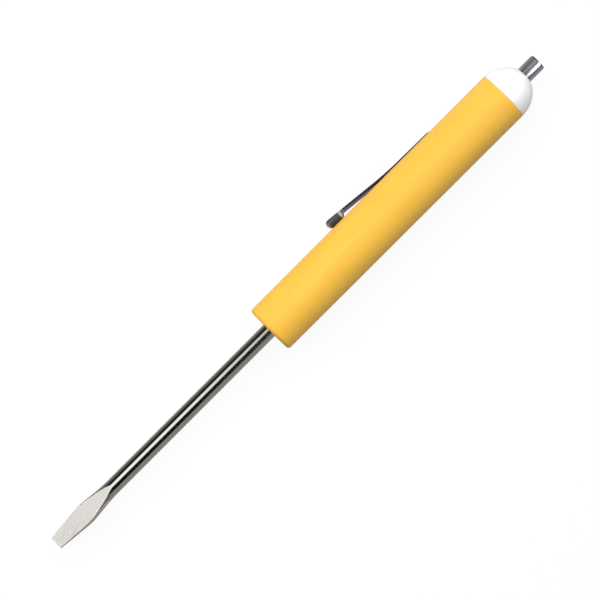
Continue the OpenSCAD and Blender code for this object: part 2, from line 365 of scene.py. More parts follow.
# %% Finish: polished bar with ground flats
DARK_BAR, BRIGHT_BAR = (0.50, 0.49, 0.47), (0.58, 0.57, 0.55)
DARK_FLAT, BRIGHT_FLAT = (0.775, 0.764, 0.732), (0.832, 0.822, 0.787)
SCRATCHED = (0.56, 0.545, 0.525, 1)
SCRATCH_LEAN = math.radians(-15)
WORN_MOST_Z, WORN_LEAST_Z = -63.0, -56.0

bar_and_flats, tree, shader, place = new_finish("bar_and_flats")
ground = add_node(tree, "ShaderNodeAttribute", attribute_name="ground").outputs["Fac"]
bar_lines = speckle(tree, place, (0.6, 0.6, 26))
wheel_lines = speckle(tree, place, (14, 1, 0.7), detail=4)

leant = add_node(tree, "ShaderNodeMapping", {"Vector": place, "Rotation": (0, SCRATCH_LEAN, 0)})
scratches = speckle(tree, leant.outputs[0], (7.5, 1, 0.16), detail=1.0)
up_tool = add_node(tree, "ShaderNodeSeparateXYZ", {"Vector": place}).outputs["Z"]
near_tip = between(tree, up_tool, 0.75, 0.1, WORN_MOST_Z, WORN_LEAST_Z)
deep = reckoned(tree, "MULTIPLY", between(tree, scratches, 0.0, 1.0, 0.56, 0.68), near_tip)

bar_colour = between(tree, bar_lines, DARK_BAR, BRIGHT_BAR)
flat_colour = mixed(tree, deep, between(tree, wheel_lines, DARK_FLAT, BRIGHT_FLAT), SCRATCHED)
bar_rough, flat_rough = between(tree, bar_lines, 0.06, 0.11), between(tree, wheel_lines, 0.47, 0.53)
feed(
    tree, shader, Base_Color=mixed(tree, ground, bar_colour, flat_colour),
    Roughness=blended(tree, ground, bar_rough, flat_rough),
    Metallic=between(tree, ground, 1.0, 0.75, 0.0, 1.0),
)
wheel_height = between(tree, wheel_lines, 0.42, 0.58, 0.0, 1.0)
dug_in = between(tree, deep, 0.0, 0.3, 0.0, 1.0)
height = blended(tree, ground, bar_lines, reckoned(tree, "SUBTRACT", wheel_height, dug_in))
relief(tree, shader, height, depth_mm=0.003, strength=0.4)
print(bar_and_flats.name, "has", len(tree.nodes), "nodes")

# %% [markdown]
# ## Steel: the rolled strip and its pressed ball
# The clip is rolled strip, smooth but dark, with a violet tinge. Pressing drags the steel of the
# ball, which comes out duller than the strip. Where the ball faces the barrel it is painted near
# black, a painted contact shade. Its neck, and its toe a little, are painted near white, a painted
# highlight. All of that lies on one strip of steel, so the tool places tell strip, ball, neck and toe
# apart inside one finish.

# %% Finish: rolled spring strip
DARK_STRIP, BRIGHT_STRIP = (0.125, 0.102, 0.142), (0.185, 0.152, 0.205)
DARK_BALL, BRIGHT_BALL = (0.085, 0.092, 0.082), (0.108, 0.115, 0.103)
# Near black is a painted contact shade on the ball's barrel side, near white a painted highlight on
# its neck and toe
PAINTED_CONTACT_SHADE, PAINTED_HIGHLIGHT = (0.07, 0.07, 0.07, 1), (0.74, 0.73, 0.70, 1)

rolled_strip, tree, shader, place = new_finish("rolled_strip")
rolled = speckle(tree, place, (7, 7, 0.5))

# Where one skin goes over into the next, as spans of tool places in mm
where = add_node(tree, "ShaderNodeSeparateXYZ", {"Vector": place}).outputs
on_strip = between(tree, where["Z"], 0.0, 1.0, 29.6, 31.0)
# Painted shade: 0 on the ball's barrel side, which gets the near black, and 1 away from it
clear_of_painted_shade = between(tree, where["X"], 0.0, 1.0, 7.0, 7.5)
# Painted highlight: the neck fully, and the toe at about a third, get the near white
neck = between(tree, where["Z"], 0.0, 1.0, 29.15, 29.6)
toe = between(tree, where["Z"], 0.35, 0.0, 26.0, 26.3)
painted_highlight_share = reckoned(tree, "MAXIMUM", neck, toe)

ball_colour = between(tree, rolled, DARK_BALL, BRIGHT_BALL)
# The ball's own colour, with painted shade towards the barrel and a painted highlight on neck and toe
ball_colour = mixed(tree, painted_highlight_share, mixed(tree, clear_of_painted_shade, PAINTED_CONTACT_SHADE, ball_colour), PAINTED_HIGHLIGHT)
strip_colour = between(tree, rolled, DARK_STRIP, BRIGHT_STRIP)
ball_rough = between(tree, painted_highlight_share, 0.30, 0.22, 0.0, 1.0)
strip_rough = between(tree, rolled, 0.07, 0.14)
feed(
    tree, shader, Base_Color=mixed(tree, on_strip, ball_colour, strip_colour),
    Roughness=blended(tree, on_strip, ball_rough, strip_rough),
    Metallic=between(tree, on_strip, 0.5, 1.0, 0.0, 1.0),
)
relief(tree, shader, rolled, depth_mm=0.003, strength=0.4)
print(rolled_strip.name, "has", len(tree.nodes), "nodes")

# %% [markdown]
# ## Steel: the drawn and plated cup
# The cup is pulled through a die, which leaves lines along it, and nickel is plated over them.
# Plate is bright and a little blue. Plain chrome would mirror the studio in clean bands, but this
# one shows many fine streaks, so both its colour and its relief run in long lines.

# %% Finish: drawn and plated cup
DULL_NICKEL, BRIGHT_NICKEL = (0.36, 0.36, 0.41), (0.80, 0.80, 0.89)

drawn_nickel, tree, shader, place = new_finish("drawn_nickel", Metallic=1.0)
drawn = speckle(tree, place, (3.4, 3.4, 0.06), roughness=0.7)
feed(
    tree, shader, Base_Color=between(tree, drawn, DULL_NICKEL, BRIGHT_NICKEL, 0.4, 0.6),
    Roughness=between(tree, drawn, 0.07, 0.16),
)
relief(tree, shader, drawn, depth_mm=0.006, strength=0.5)
print(drawn_nickel.name, "has", len(tree.nodes), "nodes")

# %% [markdown]
# ## The bare magnet
# The slug in the cup is pressed from powder and baked, and this kind is often left bare: nearly
# black, with a fine dull grain. It only shows from the cap's end. Plain grey would pass from afar,
# but a close view should find the grain, so a small speckle makes it.

# %% Finish: bare magnet
DARK_POWDER, PALE_POWDER = (0.055, 0.055, 0.06), (0.13, 0.13, 0.14)

bare_magnet, tree, shader, place = new_finish("bare_magnet", Metallic=0.85)
sintered = speckle(tree, place, (1, 1, 1), scale=5.0, detail=5)
feed(
    tree, shader, Base_Color=between(tree, sintered, DARK_POWDER, PALE_POWDER),
    Roughness=between(tree, sintered, 0.38, 0.60),
)
relief(tree, shader, sintered, depth_mm=0.012, strength=0.8)
print(bare_magnet.name, "has", len(tree.nodes), "nodes")

# %% [markdown]
# ## The barrel and clip in numbers
# The barrel is a moulded tube, a hair wider at the cap than at the blade, because a moulding needs
# draft to leave its mould. The clip's line is fixed by three places: where it is rooted, where it
# starts to lift off the barrel, and the ball's end. The channel in the barrel has to follow the
# strip, so both read the same few numbers.

# %% Barrel sizes
BARREL_LEN, NOSE_R, SEAM_R, NOSE_ROUND, SEAM_ROUND = 74.0, 6.05, 6.15, 0.8, 0.15
BORE_R, BORE_LEAD, NOSE_LEN = 4.1, 0.4, 27.0
CLIP_W, CLIP_T, CLIP_GAP, SIDE_GAP, FLEX_ROOM = 2.8, 0.33, 0.1, 0.12, 0.35
ROOT_Z, LIFT_Z, BALL_LOW_Z, BALL_HIGH_Z = 56.6, 43.3, 27.0, 29.0
ROOT_RISE, LIFT_RISE, BALL_RISE = 0.08, 0.28, 2.06
HOOK_TOP_Z = ROOT_Z + CLIP_T / 2 + CLIP_GAP


def barrel_r(z):
    """Radius of the barrel's outside: a straight run from the blade end to the seam."""
    return NOSE_R + (SEAM_R - NOSE_R) * z / BARREL_LEN


root_x = barrel_r(ROOT_Z) + ROOT_RISE - CLIP_T / 2
lift_x = barrel_r(LIFT_Z) + LIFT_RISE - CLIP_T / 2
end_x = barrel_r(BALL_LOW_Z) + BALL_RISE - CLIP_T / 2
lift_slope = (end_x - lift_x) / (LIFT_Z - BALL_LOW_Z)
print(f"strip lifts {lift_slope:.4f} mm in each mm along the barrel")

# %% [markdown]
# ## The barrel's outline
# One outline turned round the axis makes the tube: the rounded nose, the long wall, the rounded
# seam at the cap, and the bore down to the solid nose. Rows stand closer together beside the
# channel, so that its ends come out clean. Where the channel stops, at the hook's upper side, two
# rows at one height will make its upright end.

# %% Barrel outline
HAIR, NOSE_RING_R = 0.02, 2.2
NOSE_STEPS, SEAM_STEPS, WALL_ROWS, CHANNEL_ROWS = 12, 6, 70, 64
CHANNEL_FROM, CHANNEL_TO = 36, 57


def round_rows(centre_r, centre_z, radius, start, end, steps):
    """Rows of [radius, height] along an arc of the outline, by its angle in degrees."""
    a = np.radians(np.linspace(start, end, steps))
    return np.stack([centre_r + radius * np.cos(a), centre_z + radius * np.sin(a)], axis=1)


wall_z = np.unique(np.concatenate([
    np.linspace(NOSE_ROUND, BARREL_LEN - SEAM_ROUND, WALL_ROWS),
    np.linspace(CHANNEL_FROM, CHANNEL_TO, CHANNEL_ROWS),
]))
wall_z = wall_z[np.abs(wall_z - HOOK_TOP_Z) > HAIR]
wall_z = np.sort(np.concatenate([wall_z, [HOOK_TOP_Z, HOOK_TOP_Z]]))

# The two arcs end a few degrees short of the wall, so that no rows fall together
nose_face = np.array([[0, 0], [NOSE_RING_R, 0]])
outline = np.concatenate([
    nose_face,
    round_rows(NOSE_R - NOSE_ROUND, NOSE_ROUND, NOSE_ROUND, -90, -4, NOSE_STEPS),
    np.stack([barrel_r(wall_z), wall_z], axis=1),
    round_rows(SEAM_R - SEAM_ROUND, BARREL_LEN - SEAM_ROUND, SEAM_ROUND, 10, 90, SEAM_STEPS),
    [[BORE_R + BORE_LEAD, BARREL_LEN], [BORE_R, BARREL_LEN - BORE_LEAD]],
    [[BORE_R, NOSE_LEN], [0, NOSE_LEN]],
])
first_wall = len(nose_face) + NOSE_STEPS
print("the outline has", len(outline), "rows, of which", len(wall_z), "are wall")

# %% [markdown]
# ## The barrel's skin and channel
# The shallow channel for the strip could be cut with a Boolean, but a long thin cut leaves slivers.
# Instead it is part of the same surface: on the clip's side the outside may not stand higher than
# the channel's floor. The columns round the barrel end at the channel's edges, and those inside the
# channel start there again. So each edge has two columns, one high and one low, which make an
# upright wall.

# %% Barrel surface
AROUND, INSIDE, WIDEST_HALF_ANGLE = 200, 31, 0.25


def channel_floor(z):
    """Height of the channel's floor, a clearance below the strip: a straight line from the hook to
    where the strip lifts, and then another that rises with it."""
    below_strip = CLIP_T / 2 + CLIP_GAP
    floor = np.interp(z, [LIFT_Z, ROOT_Z], [lift_x, root_x]) - below_strip
    return np.where(z < LIFT_Z, lift_x - below_strip + (LIFT_Z - z) * lift_slope, floor)


r, z = outline[:, :1], outline[:, 1:]
half_channel = CLIP_W / 2 + SIDE_GAP
edge_sine = np.minimum(half_channel / np.maximum(r, TINY), np.sin(WIDEST_HALF_ANGLE))
edge_angle = np.arcsin(edge_sine)
around = edge_angle + (2 * np.pi - 2 * edge_angle) * np.linspace(0, 1, AROUND)
inside = np.linspace(-1, 1, INSIDE) * edge_angle
angle = np.concatenate([around, inside], axis=1)
x, y = r * np.cos(angle), r * np.sin(angle)

row = np.arange(len(outline))
is_wall = (row >= first_wall) & (row < first_wall + len(wall_z))
channel_end = int(np.argmax(is_wall & np.isclose(z[:, 0], HOOK_TOP_Z)))
grooved = is_wall & (row <= channel_end)
x[:, AROUND:] = np.minimum(x[:, AROUND:], np.where(grooved[:, None], channel_floor(z), np.inf))
barrel = skin("barrel_moulding", laid(x, y, z), cells(*x.shape))
print(f"channel is {barrel_r(ROOT_Z) - channel_floor(ROOT_Z):.2f} mm deep at the hook")

# %% [markdown]
# ## The window for the hook
# The clip's root goes through a window in the barrel's wall, with a little room below it in which
# the strip can flex. A real mould makes such a window with a sliding pin. Here a short prism does
# the pin's work, as a four-sided grid whose two ends close in their middles. It stays a hair inside
# the channel's edges, because a Boolean can't tell two faces in one plane apart.

# %% Window for the hook
WINDOW_IN_R, WINDOW_OUT_R = 3.2, 6.4

hook_low, hook_high = ROOT_Z - CLIP_T / 2 - FLEX_ROOM, HOOK_TOP_Z - HAIR
mid_z, half_z = (hook_low + hook_high) / 2, (hook_high - hook_low) / 2
plan = np.array([[-1, -1], [1, -1], [1, 1], [-1, 1]]) * [half_channel - HAIR, half_z]
out_to = np.array([WINDOW_IN_R, WINDOW_IN_R, WINDOW_OUT_R, WINDOW_OUT_R])[:, None]
spread = np.array([0.0, 1.0, 1.0, 0.0])[:, None]
pin = laid(out_to + 0 * plan[:, 0], spread * plan[:, 0], mid_z + spread * plan[:, 1])
cut(barrel, skin("window_cutter", pin, cells(*pin.shape[:2])))
finish_piece(barrel, "handle", "barrel", golden_plastic)

# %% [markdown]
# ## The blade's three limits
# A toolmaker starts with round bar, forges one end wide and flat, and grinds two faces to a wedge.
# So at each distance from the tip three limits meet: the width in plan, the ground thickness and
# the forged round. The flats are a little hollow, because the face of a wheel grinds an arc. A box
# could be pulled to this shape by hand, but three plain curves are what the maker measures.

# %% Blade limits
SHAFT_R, ROOT_LEN = 1.8, 24.0
TIP_W, TIP_T, FLARE_W, WIDE_AT, FLARE_LEN = 3.1, 0.8, 4.6, 9.0, 16.0
FLAT_LEN, FLAT_HOLLOW, FLARE_ROUND, FLARE_LEAD, CONE_EASE = 17.8, 0.13, 1.6, 0.03, 2.0

chord = np.array([FLAT_LEN, SHAFT_R - TIP_T / 2])
chord_len = np.linalg.norm(chord)
wheel_r = chord_len**2 / (8 * FLAT_HOLLOW) + FLAT_HOLLOW / 2
square_to_chord = np.array([-chord[1], chord[0]]) / chord_len
wheel_mid = np.array([0, TIP_T / 2]) + chord / 2 + (wheel_r - FLAT_HOLLOW) * square_to_chord


def half_thickness(s):
    """Half of the ground thickness at s mm from the tip: the arc that the grinding wheel leaves."""
    return wheel_mid[1] - np.sqrt(wheel_r**2 - (s - wheel_mid[0]) ** 2)


def half_width(s):
    """Half of the width in plan: straight out to the flare's widest point and in again to the bar,
    with a curve between the two. Beyond the flare it only grows, so it limits nothing there."""
    start, wide = np.array([0, TIP_W / 2]), np.array([WIDE_AT, FLARE_W / 2])
    neck = np.array([FLARE_LEN, SHAFT_R + FLARE_LEAD])
    below = wide + (start - wide) / np.linalg.norm(start - wide) * FLARE_ROUND
    above = wide + (neck - wide) / np.linalg.norm(neck - wide) * FLARE_ROUND
    straight = np.interp(s, [0, WIDE_AT, FLARE_LEN], [start[1], wide[1], neck[1]])
    t = np.clip((s - below[0]) / (above[0] - below[0]), 0, 1)
    curve = corner_curve(t, below[1], wide[1], above[1])
    return np.where((t > 0) & (t < 1), curve, straight) + np.maximum(s - FLARE_LEN, 0)


corner_r = float(np.hypot(FLARE_W / 2, half_thickness(WIDE_AT)) + FLARE_LEAD)


def round_limit(s):
    """Radius of the forged round: even over the flare, then a cone down to the bar. Where they meet
    it is eased by a square that fades out within CONE_EASE."""
    fall = (corner_r - SHAFT_R) / (FLARE_LEN - WIDE_AT)
    straight = np.maximum(corner_r - fall * (s - WIDE_AT), SHAFT_R)
    near = np.clip((s - FLARE_LEN) / CONE_EASE, -1, 1)
    return np.minimum(straight + fall * CONE_EASE * (1 - np.abs(near)) ** 2 / 4, corner_r)


print(f"forged round {corner_r:.3f} mm, tip {2 * half_thickness(0.0):.2f} mm thick")

# %% [markdown]
# ## Where the blade's points go
# Light shows every facet on polished steel, so the points should crowd where the surface bends
# quickly: along the edges between a side face, the forged round and a flat. The three limits give
# the angles of those edges. An even fan of angles would need several times the points.

# %% Blade columns
HEAD_TO, SHAFT_FROM, HEAD_ROWS, SHAFT_ROWS, PAST_FLATS = 18.4, 19, 185, 24, 22
SIDE_STEPS, FLANK_STEPS, FLAT_STEPS = 12, 24, 14
SIDE_SPAN, FLAT_SPAN, CORNER_STEP, LEAST_FLANK = (0.08, 1.2), (0.25, 1.49), 0.012, 0.02

s = np.concatenate([
    np.linspace(0, HEAD_TO, HEAD_ROWS), np.linspace(SHAFT_FROM, BLADE_OUT + ROOT_LEN, SHAFT_ROWS)
])[:, None]
wide, round_r = half_width(s), round_limit(s)
thick = half_thickness(np.minimum(s, PAST_FLATS)) + np.maximum(s - FLAT_LEN, 0)

corner_at = np.arctan2(thick, wide)
boxy = wide**2 + thick**2 < round_r**2
side_ends = np.clip(np.arccos(np.clip(wide / round_r, 0, 1)), *SIDE_SPAN)
side_ends = np.minimum(side_ends, corner_at + SIDE_SPAN[1])
side_ends = np.where(boxy, corner_at - CORNER_STEP, side_ends)
flat_starts = np.clip(np.arcsin(np.clip(thick / round_r, 0, 1)), *FLAT_SPAN)
flat_starts = np.where(boxy, corner_at + CORNER_STEP, flat_starts)
flat_starts = np.maximum(flat_starts, side_ends + LEAST_FLANK)


def crowded(steps):
    """Shares from 0 to 1 that crowd together at both ends, where the edges are: half of 1 - cos."""
    return (1 - np.cos(np.pi * np.linspace(0, 1, steps + 1)[:-1])) / 2


quarter = np.concatenate([
    side_ends * crowded(SIDE_STEPS),
    side_ends + (flat_starts - side_ends) * crowded(FLANK_STEPS),
    flat_starts + (np.pi / 2 - flat_starts) * crowded(FLAT_STEPS),
], axis=1)
half = np.concatenate([quarter, np.full_like(s, np.pi / 2), np.pi - quarter[:, :0:-1]], axis=1)
angle = np.concatenate([half, np.pi + half], axis=1)
print("the blade has", angle.shape[0], "rows of", angle.shape[1], "columns")

# %% [markdown]
# ## The blade's skin
# In each direction the section reaches as far as the nearest of the three limits. A sharp minimum
# would leave knife edges, so the limits are joined by a high power instead, which rounds each edge
# as finely as a grinding wheel does. Small rings close the tip's end face, and its edge is broken
# by a hundredth of a millimetre.

# %% Blade surface
POWER, TIP_BREAK = 110.0, 0.012
tip_rings = np.array([0.0, 0.9, 0.985])[:, None]

across, through = np.abs(np.cos(angle)) / wide, np.abs(np.sin(angle)) / thick
reach = ((1 / round_r) ** POWER + across**POWER + through**POWER) ** (-1 / POWER)
x, y = reach * np.cos(angle), reach * np.sin(angle)
x = np.concatenate([tip_rings * x[:1], x, 0.0 * x[-1:]])
y = np.concatenate([tip_rings * y[:1], y, 0.0 * y[-1:]])
from_tip = np.concatenate([0.0 * tip_rings, np.maximum(s, TIP_BREAK), s[-1:]])
blade = skin("blade_bar", laid(x, y, from_tip - BLADE_OUT), cells(*x.shape))
print("the flare is", round(2 * float(x.max()), 2), "mm wide")

# %% [markdown]
# ## Which of the blade's points are ground
# The finish has to know where the wheel has been. A point counts as ground where it lies at the
# full ground thickness, and on the tip's end face. From the flare's widest place on, a thin bright
# border is left beside each flat. Blender's own paint tools could mark all this by hand, but worked
# out from the limits it stays right when a size changes.

# %% Ground flats
BORDER, BORDER_FROM, BORDER_GROWS_IN, BLUR = 0.27, 8.8, 1.3, 0.05
ALMOST_THICK, THICK_BLUR, ON_TIP_END = 0.975, 0.012, 0.005

spots = points_on_tool(blade.data)
from_tip = spots[:, 2] + BLADE_OUT
thick = half_thickness(np.clip(from_tip, 0, PAST_FLATS))
on_flat = np.clip((np.abs(spots[:, 1]) - ALMOST_THICK * thick) / (THICK_BLUR * thick), 0, 1)
on_flat = np.maximum(on_flat * (from_tip < FLAT_LEN), from_tip < ON_TIP_END)
round_edge = np.sqrt(np.maximum(round_limit(from_tip) ** 2 - thick**2, 0))
edge = np.minimum(half_width(from_tip), round_edge)
border = BORDER * np.clip((from_tip - BORDER_FROM) / BORDER_GROWS_IN, 0, 1)
on_flat = on_flat * np.clip((edge - border - np.abs(spots[:, 0])) / BLUR + 1, 0, 1)
ground_share = blade.data.attributes.new("ground", "FLOAT", "POINT")
ground_share.data.foreach_set("value", on_flat.astype(np.float32))
print(int((on_flat > 0.5).sum()), "points are ground")
finish_piece(blade, "handle", "blade", bar_and_flats, sharp_deg=24)

# %% [markdown]
# ## The clip's line
# One strip of spring steel, bent twice at its root to hook behind the barrel's wall, and once more,
# very gently, where it leaves the barrel. A curve object with a bevel could draw it, but its
# corners can't be told a bending radius in mm. So it is set out as a toolmaker would: straight
# runs, with an arc of its own radius at each corner.

# %% Clip line
BALL_R, HOOK_BEND_R, LIFT_BEND_R, FOOT_LEN = 1.4, 0.5, 75.0, 4.6
HOOK_STEPS, LIFT_STEPS, FOOT_END, INTO_BALL = 12, 24, 0.1, 1.05
foot_x = math.sqrt(BORE_R**2 - (CLIP_W / 2) ** 2) - CLIP_GAP - CLIP_T / 2
ball_x = barrel_r(BALL_HIGH_Z) + CLIP_GAP + BALL_R


def bend(before, corner, after, radius, steps):
    """A corner of a line rounded to a radius: points from one tangent to the other, all at the
    radius from the arc's centre."""
    before, corner, after = (np.array(p, float) for p in (before, corner, after))
    a, b = ((p - corner) / np.linalg.norm(p - corner) for p in (before, after))
    half = math.acos(float(a @ b)) / 2
    start, end = (corner + way * radius / math.tan(half) for way in (a, b))
    centre = corner + (a + b) / np.linalg.norm(a + b) * radius / math.sin(half)
    run = start + (end - start) * np.linspace(0, 1, steps)[:, None] - centre
    return centre + run / np.linalg.norm(run, axis=1, keepdims=True) * radius


foot_end, foot, root = (foot_x, ROOT_Z + FOOT_LEN), (foot_x, ROOT_Z), (root_x, ROOT_Z)
lift, ball_run = (lift_x, LIFT_Z), BALL_HIGH_Z - BALL_LOW_Z
line = np.concatenate([
    [foot_end, (foot_x, ROOT_Z + FOOT_LEN - FOOT_END)],
    bend(foot_end, foot, root, HOOK_BEND_R, HOOK_STEPS),
    bend(foot, root, lift, HOOK_BEND_R, HOOK_STEPS),
    bend(root, lift, (end_x, BALL_LOW_Z), LIFT_BEND_R, LIFT_STEPS),
    [(end_x - lift_slope * ball_run * k, BALL_LOW_Z + ball_run * k) for k in (INTO_BALL, 1.0)],
])
print(f"clip line is {np.linalg.norm(np.diff(line, axis=0), axis=1).sum():.2f} mm long")

# %% [markdown]
# ## The strip
# Rolled strip has flat faces and rounded edges, because the rolls squeeze its sides out. Its
# section is carried along the line, square to it everywhere, and closed at both ends. Pressing the
# ball spreads the steel there, so the strip is drawn a hundredth of a millimetre narrower on each
# side than the ball. That also keeps the two skins apart where they would share a plane.

# %% Strip surface
PRESS_SPREAD, EDGE_ROUND, FOOT_RING = 0.01, 0.09, 0.85


def strip_section(width, thickness, edge, steps=6):
    """The strip's section as [across, out]: a rectangle whose corners are quarter circles."""
    a = np.linspace(0, np.pi / 2, steps)
    across, out = width / 2 - edge + edge * np.cos(a), thickness / 2 - edge + edge * np.sin(a)
    quarter = np.stack([across, out], axis=1)
    top = np.concatenate([quarter, quarter[::-1] * [-1, 1]])
    return np.concatenate([top, -top])


section = strip_section(CLIP_W - 2 * PRESS_SPREAD, CLIP_T, EDGE_ROUND)
heading = np.gradient(line, axis=0)
heading /= np.linalg.norm(heading, axis=1, keepdims=True)
outwards = np.stack([-heading[:, 1], heading[:, 0]], axis=1)
size = np.concatenate([[0.0, FOOT_RING], np.ones(len(line)), [0.0]])[:, None]
at = np.concatenate([line[:1], line[:1], line, line[-1:]])
outwards = np.concatenate([outwards[:1], outwards[:1], outwards, outwards[-1:]])
x = at[:, :1] + outwards[:, :1] * section[:, 1] * size
z = at[:, 1:] + outwards[:, 1:] * section[:, 1] * size
clip = skin("spring_clip", laid(x, section[:, 0] * size, z), cells(*x.shape))
print("the strip has", len(section), "points round its section")

# %% [markdown]
# ## The pressed ball
# The strip's free end is pressed into an oblong ball, hollow on the outer side, that slides over a
# pocket's edge. It is a bar with round ends. Its skin runs from the line nearest the barrel up to
# the strip's outer face, where a lid closes it. The ball is joined to the strip, and a smaller one
# without a lid is cut out of both, which leaves a wall as thick as the strip. The lid lies a few
# thousandths below the strip's face: two faces in one plane leave a Boolean nothing to cut along.

# %% Pressed ball surface
LID_STEP, END_COLUMNS, BALL_ROWS = 0.004, 33, 30


def ball_bar(name, radius, opened):
    """A bar with round ends, by two angles: u goes round it as seen from the clip's side, and v
    climbs from the side nearest the barrel. x = middle - r cos v, y = r sin v cos u, and
    z = core + r sin v sin u. An opened one stops at the strip's outer face, and is lidded."""
    upper_end = np.linspace(0, np.pi, END_COLUMNS)
    u = np.concatenate([upper_end, np.linspace(np.pi, 2 * np.pi, END_COLUMNS)])
    core = np.where(np.arange(2 * END_COLUMNS) < END_COLUMNS, BALL_HIGH_Z, BALL_LOW_Z)
    slope = lift_slope * np.sin(u)
    lid = end_x + CLIP_T / 2 * math.hypot(1, lift_slope) - LID_STEP
    lid_x = lid - lift_slope * (core - BALL_LOW_Z)
    highest = np.clip((lid_x - ball_x) / radius / np.hypot(1, slope), -1, 1)
    last = np.arctan2(1.0, slope) + np.arcsin(highest) if opened else np.full_like(u, np.pi)
    v = np.linspace(0, 1, BALL_ROWS)[:, None] * last
    x = ball_x - radius * np.cos(v)
    y = radius * np.sin(v) * np.cos(u)
    z = core + radius * np.sin(v) * np.sin(u)
    if opened:
        x, y, z = (np.vstack(rows) for rows in ((x, lid_x), (y, 0 * u), (z, core)))
    return skin(name, laid(x, y, z), cells(*x.shape))


cut(clip, ball_bar("ball_outside", BALL_R, opened=True), "UNION")
cut(clip, ball_bar("ball_hollow", BALL_R - CLIP_T, opened=False))
finish_piece(clip, "clip", "clip", rolled_strip, sharp_deg=30)

# %% [markdown]
# ## The cap
# The cap is a half-egg dome on a hollow spigot, with a round seat down its middle for the cup. The
# spigot is drawn too, although nobody sees it in the bore. It is one outline turned about the axis:
# each row of the table below gives a radius, a height and how far the corner there is eased.

# %% Cap
DOME_H, SPIGOT_LEN, SPIGOT_GAP, SPIGOT_WALL, SEAT_WEB, GLUE = 7.0, 11.0, 0.12, 1.4, 2.0, 0.03
CUP_R, CUP_TOP, CUP_WALL, CUP_FLOOR, MAGNET_LEN, MAGNET_INSET = 2.0, 11.0, 0.4, 0.6, 8.8, 0.15
LIP, DOME_FROM, DOME_ROWS, CAP_COLUMNS = 0.12, 0.03, 60, 200

cup_top_z = BARREL_LEN + CUP_TOP
cup_base_z = cup_top_z - (CUP_FLOOR + GLUE + MAGNET_LEN + MAGNET_INSET)
seat_z, seat_r = cup_base_z - GLUE, CUP_R + GLUE
spigot_r, spigot_z = BORE_R - SPIGOT_GAP, BARREL_LEN - SPIGOT_LEN
inner_spigot_r, web_z = spigot_r - SPIGOT_WALL, seat_z - SEAT_WEB
lip_z = BARREL_LEN + DOME_H * math.sin(math.acos(seat_r / SEAM_R))
a = np.linspace(DOME_FROM, math.acos((seat_r + LIP) / SEAM_R), DOME_ROWS)
dome = np.stack([SEAM_R * np.cos(a), BARREL_LEN + DOME_H * np.sin(a), 0 * a], axis=1)
cap_outline = np.concatenate([
    [[0, web_z, 0], [inner_spigot_r, web_z, 0.2], [inner_spigot_r, spigot_z, 0.1]],
    [[spigot_r, spigot_z, 0.3], [spigot_r, BARREL_LEN, 0.1], [SEAM_R, BARREL_LEN, 0.18]],
    dome,
    [[seat_r, lip_z - HAIR, 0.08], [seat_r, seat_z, 0.1], [0, seat_z, 0]],
])
cap = turned("domed_cap", eased(cap_outline), CAP_COLUMNS)
finish_piece(cap, "handle", "top_cap", glossy_white)

# %% [markdown]
# ## The cup and the magnet
# The cup is drawn from thin steel, so its rim is rolled over instead of cut: the outer half of the
# round is stretched down the wall, as a roll leaves it. The magnet sits just inside that rim, where
# it can't chip. Both are turned outlines. From the photo's side the cup could be a closed rod, but
# from the end one sees the dark magnet in its bright ring.

# %% Cup and magnet
ROLL_LEN, RIM_STEPS, CUP_COLUMNS, SLUG_COLUMNS = 0.5, 19, 128, 96

inner_r, rim_r = CUP_R - CUP_WALL, CUP_WALL / 2
rim = round_rows(CUP_R - rim_r, cup_top_z - rim_r, rim_r, 0, 180, RIM_STEPS)
outer_half = slice(0, RIM_STEPS // 2 + 1)
rim_share = (rim[outer_half, 1] - cup_top_z + rim_r) / rim_r
rim[outer_half, 1] = cup_top_z - ROLL_LEN + rim_share * ROLL_LEN
floor_z = cup_base_z + CUP_FLOOR
cup_outline = np.concatenate([
    [[0, cup_base_z, 0], [CUP_R, cup_base_z, 0.3]],
    np.column_stack([rim, 0 * rim[:, 0]]),
    [[inner_r, floor_z, 0.1], [0, floor_z, 0]],
])
cup = turned("plated_cup", eased(cup_outline), CUP_COLUMNS)
finish_piece(cup, "handle", "magnet_cup", drawn_nickel)

slug_r, slug_top = inner_r - GLUE, cup_top_z - MAGNET_INSET
slug_low = slug_top - MAGNET_LEN
slug_outline = [
    [0, slug_low, 0], [slug_r, slug_low, 0.1], [slug_r, slug_top, 0.1], [0, slug_top, 0],
]
slug = turned("magnet_slug", eased(slug_outline), SLUG_COLUMNS)
finish_piece(slug, "handle", "magnet", bare_magnet)

# %% [markdown]
# ## The camera
# Catalogue pictures of small tools are taken from well back with a long lens, so that the sides
# stay parallel. The tool lies corner to corner, and the camera looks down on it from a little
# behind, turned so that the cap points to the upper right. It could be aimed by two angles and a
# roll, but three directions, square to each other, are easier to read.

# %% Camera
SENSOR_MM, LENS_TO_SENSOR, LENS_AWAY, NEAREST, FARTHEST = 36.0, 5.885, 0.79, 0.05, 20.0
AIM_ALONG_MM, AIM_DOWN_MM = 0.82, 0.048

towards_camera = np.array([0, 0.3869, 0.9221])
upper_left = np.array([0, 0.9221, -0.3869])
picture_up = np.array([math.sqrt(0.5), 0.6520, -0.2736])
picture_right = np.cross(picture_up, towards_camera)


def stand_up(thing, right, up, back, place):
    """Stands a camera or a lamp at a place, with its own right, up and back directions as given."""
    stance = np.eye(4)
    stance[:3, :3], stance[:3, 3] = np.stack([right, up, back], axis=1), place
    thing.matrix_world = Matrix(stance.tolist())
    bpy.context.scene.collection.objects.link(thing)


camera = bpy.data.objects.new("camera", bpy.data.cameras.new("camera"))
camera.data.sensor_width, camera.data.lens = SENSOR_MM, SENSOR_MM * LENS_TO_SENSOR
camera.data.clip_start, camera.data.clip_end = NEAREST, FARTHEST
on_axis = np.array([AIM_ALONG_MM, tip[1] / MM, tip[2] / MM])
place_at = MM * (on_axis - AIM_DOWN_MM * upper_left) + LENS_AWAY * towards_camera
stand_up(camera, picture_right, picture_up, towards_camera, place_at)
bpy.context.scene.camera = camera
print("camera at", place_at.round(3))

